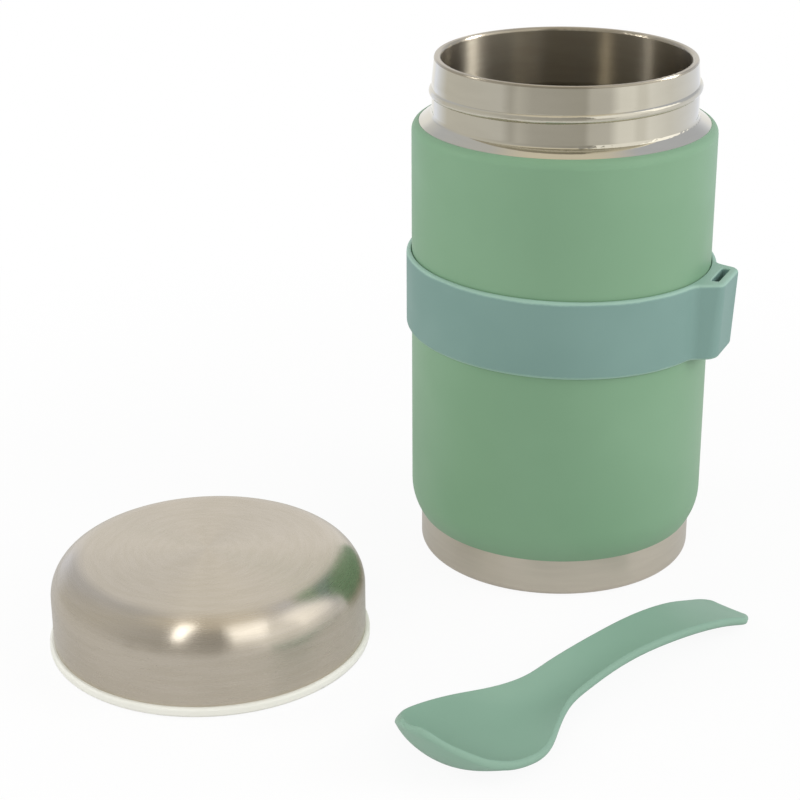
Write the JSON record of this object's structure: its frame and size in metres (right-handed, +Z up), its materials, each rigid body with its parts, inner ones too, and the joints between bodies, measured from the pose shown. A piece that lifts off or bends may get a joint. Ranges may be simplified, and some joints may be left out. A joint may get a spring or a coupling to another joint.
{
  "type": "insulated food jar",
  "caption": "Vacuum food jar with a threaded steel neck, a brushed steel screw lid with plug and gasket, and a clip-round band with a slotted holder for its own spoon.",
  "frame": {"origin": "centre of the ring that the jar stands on, on the jar's axis, at table height", "axes": "+Z up the jar's axis and out of its mouth, -Y towards the jar's front, the lid lying towards -X and the spoon in front"},
  "size_m": [0.2029, 0.1922, 0.1552],
  "materials": {
    "polished_steel": "polished stainless steel",
    "powder_coat": "matt sage green powder coat",
    "vessel_steel": "satin stainless steel",
    "foil": "bright foil",
    "brushed_steel": "brushed stainless steel",
    "braze": "dull braze bead",
    "getter_pill": "sintered metal",
    "white_plastic": "smooth white moulding",
    "foam": "rigid insulating foam",
    "clear_silicone": "translucent silicone",
    "band_silicone": "matt grey-green silicone",
    "spoon_plastic": "matt grey-green moulding"
  },
  "bodies": {
    "jar": {"outer_shell": "polished_steel", "green_coat": "powder_coat", "inner_vessel": "vessel_steel", "radiation_foil": "foil", "base_cup": "brushed_steel", "port_seal": "braze", "base_disc": "brushed_steel", "getter": "getter_pill"},
    "band": {"spoon_band": "band_silicone"},
    "lid": {"lid_cap": "brushed_steel", "lid_liner": "white_plastic", "lid_plug": "white_plastic", "lid_foam": "foam", "lid_seal": "clear_silicone"},
    "spoon": {"spoon": "spoon_plastic"}
  },
  "joints": [
    {"name": "band_turn", "type": "hinge", "parent": "jar", "child": "band", "pos_m": [0, 0, 0.08365], "axis": [0, 0, 1], "continuous": true},
    {"name": "lid_lift", "type": "slide", "parent": "jar", "child": "lid", "axis": [0, 0, 1], "range_m": [0, 0.2]},
    {"name": "spoon_lift", "type": "slide", "parent": "jar", "child": "spoon", "axis": [0, 0, 1], "range_m": [0, 0.2]}
  ]
}
